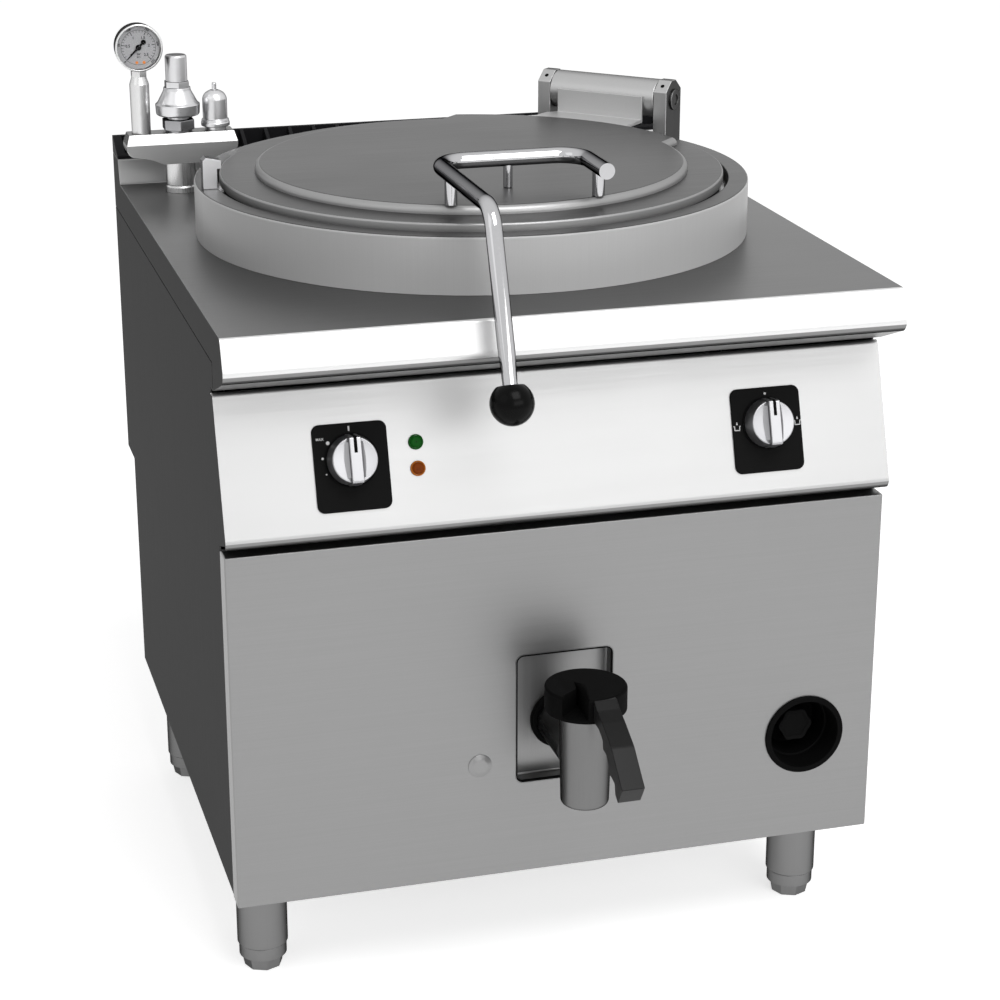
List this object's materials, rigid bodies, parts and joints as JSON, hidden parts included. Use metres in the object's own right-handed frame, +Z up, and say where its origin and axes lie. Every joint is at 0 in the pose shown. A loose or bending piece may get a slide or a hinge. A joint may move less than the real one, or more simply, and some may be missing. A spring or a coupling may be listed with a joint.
{
  "type": "steam jacketed kettle",
  "caption": "Free-standing indirect boiling pan: round vessel in a steam jacket, cabinet on legs, sprung corner-hinged lid, front drain valve, control knobs, safety valves at the rear.",
  "frame": {"origin": "centre of the object's box, on the floor", "axes": "+X to the right as seen from the front, +Y to the back, +Z up; the front with the drain valve faces -Y"},
  "size_m": [0.806, 1.0643, 1.078],
  "materials": {
    "satin_steel": "satin brushed stainless steel",
    "dark_steel": "plain stainless sheet and tube",
    "bright_steel": "finely brushed stainless steel",
    "polished_steel": "polished tube",
    "cast_steel": "machined casting, dull",
    "spring_steel": "spring wire",
    "black_plastic": "matt black moulding",
    "black_enamel": "matt black enamel",
    "silver_plastic": "silver-painted moulding",
    "seal_rubber": "food-grade seal",
    "green_lens": "translucent green lamp cover",
    "orange_lens": "translucent orange lamp cover",
    "white_dial": "white printed dial",
    "clear_lens": "clear gauge glass",
    "brass": "machined brass"
  },
  "bodies": {
    "root": {"worktop": "satin_steel", "vent_grille": "black_enamel", "collar": "satin_steel", "vessel": "bright_steel", "jacket": "dark_steel", "heating_elements": "dark_steel", "base_frame": "dark_steel", "side_panel_left": "dark_steel", "side_panel_right": "dark_steel", "back_panel": "dark_steel", "front_panel": "satin_steel", "control_panel": "bright_steel", "bezel_left": "black_plastic", "bezel_right": "black_plastic", "power_regulator": "black_plastic", "water_valve": "brass", "pilot_light_green": "green_lens", "pilot_light_orange": "orange_lens", "drain_recess": "satin_steel", "drain_flange": "black_plastic", "drain_body": "satin_steel", "drain_pipe": "satin_steel", "drain_strainer": "bright_steel", "panel_plug": "satin_steel", "jacket_cup": "black_plastic", "jacket_valve_body": "brass", "hinge_bracket_left": "satin_steel", "hinge_bracket_right": "satin_steel", "hinge_shaft": "dark_steel", "hinge_spring": "spring_steel", "water_spout": "satin_steel", "manifold": "satin_steel", "gauge_column": "satin_steel", "gauge_case": "bright_steel", "gauge_dial": "white_dial", "gauge_lens": "clear_lens", "safety_valve_body": "cast_steel", "vacuum_breaker_body": "cast_steel", "cable_gland": "black_plastic", "water_inlet": "brass"},
    "lid": {"lid_shell": "satin_steel", "lid_liner": "bright_steel", "lid_gasket": "seal_rubber", "lid_arm": "satin_steel", "hinge_tube": "satin_steel", "lid_handle": "polished_steel", "handle_knob": "black_plastic"},
    "power_knob": {"power_knob": "silver_plastic"},
    "water_knob": {"water_knob": "silver_plastic"},
    "drain_handle": {"drain_plug": "bright_steel", "drain_cap": "black_plastic", "drain_lever": "black_plastic"},
    "jacket_valve_knob": {"jacket_valve_knob": "black_plastic"},
    "gauge_needle": {"gauge_needle": "black_plastic"},
    "safety_valve_cap": {"safety_valve_cap": "cast_steel"},
    "vacuum_breaker_pin": {"vacuum_breaker_pin": "cast_steel"},
    "foot_front_left": {"foot_front_left": "satin_steel"},
    "foot_front_right": {"foot_front_right": "satin_steel"},
    "foot_rear_left": {"foot_rear_left": "satin_steel"},
    "foot_rear_right": {"foot_rear_right": "satin_steel"}
  },
  "joints": [
    {"name": "lid_hinge", "type": "hinge", "parent": "root", "child": "lid", "pos_m": [0.27224, 0.38514, 0.958], "axis": [-0.7071, 0.7071, 0], "range_deg": [0, 80]},
    {"name": "power_turn", "type": "hinge", "parent": "root", "child": "power_knob", "pos_m": [-0.25, -0.28733, 0.68712], "axis": [0, -0.9484, 0.317], "range_deg": [-270, 0]},
    {"name": "water_turn", "type": "hinge", "parent": "root", "child": "water_knob", "pos_m": [0.25, -0.28733, 0.68712], "axis": [0, -0.9484, 0.317], "range_deg": [-90, 90]},
    {"name": "drain_turn", "type": "hinge", "parent": "root", "child": "drain_handle", "pos_m": [0.001, -0.3805, 0.4], "axis": [0, 0, 1], "range_deg": [0, 90]},
    {"name": "jacket_valve_turn", "type": "hinge", "parent": "root", "child": "jacket_valve_knob", "pos_m": [0.311, -0.2547, 0.282], "axis": [0, -1, 0], "range_deg": [0, 360]},
    {"name": "needle_turn", "type": "hinge", "parent": "root", "child": "gauge_needle", "pos_m": [-0.3745, 0.4035, 1.0465], "axis": [0, -1, 0], "range_deg": [-270, 0]},
    {"name": "valve_cap_turn", "type": "hinge", "parent": "root", "child": "safety_valve_cap", "pos_m": [-0.3245, 0.417, 1.01], "axis": [0, 0, 1], "range_deg": [0, 90]},
    {"name": "breaker_lift", "type": "slide", "parent": "root", "child": "vacuum_breaker_pin", "axis": [0, 0, 1], "range_m": [0, 0.004]},
    {"name": "foot_front_left_travel", "type": "slide", "parent": "root", "child": "foot_front_left", "axis": [0, 0, -1], "range_m": [0, 0.05]},
    {"name": "foot_front_right_travel", "type": "slide", "parent": "root", "child": "foot_front_right", "axis": [0, 0, -1], "range_m": [0, 0.05]},
    {"name": "foot_rear_left_travel", "type": "slide", "parent": "root", "child": "foot_rear_left", "axis": [0, 0, -1], "range_m": [0, 0.05]},
    {"name": "foot_rear_right_travel", "type": "slide", "parent": "root", "child": "foot_rear_right", "axis": [0, 0, -1], "range_m": [0, 0.05]}
  ]
}
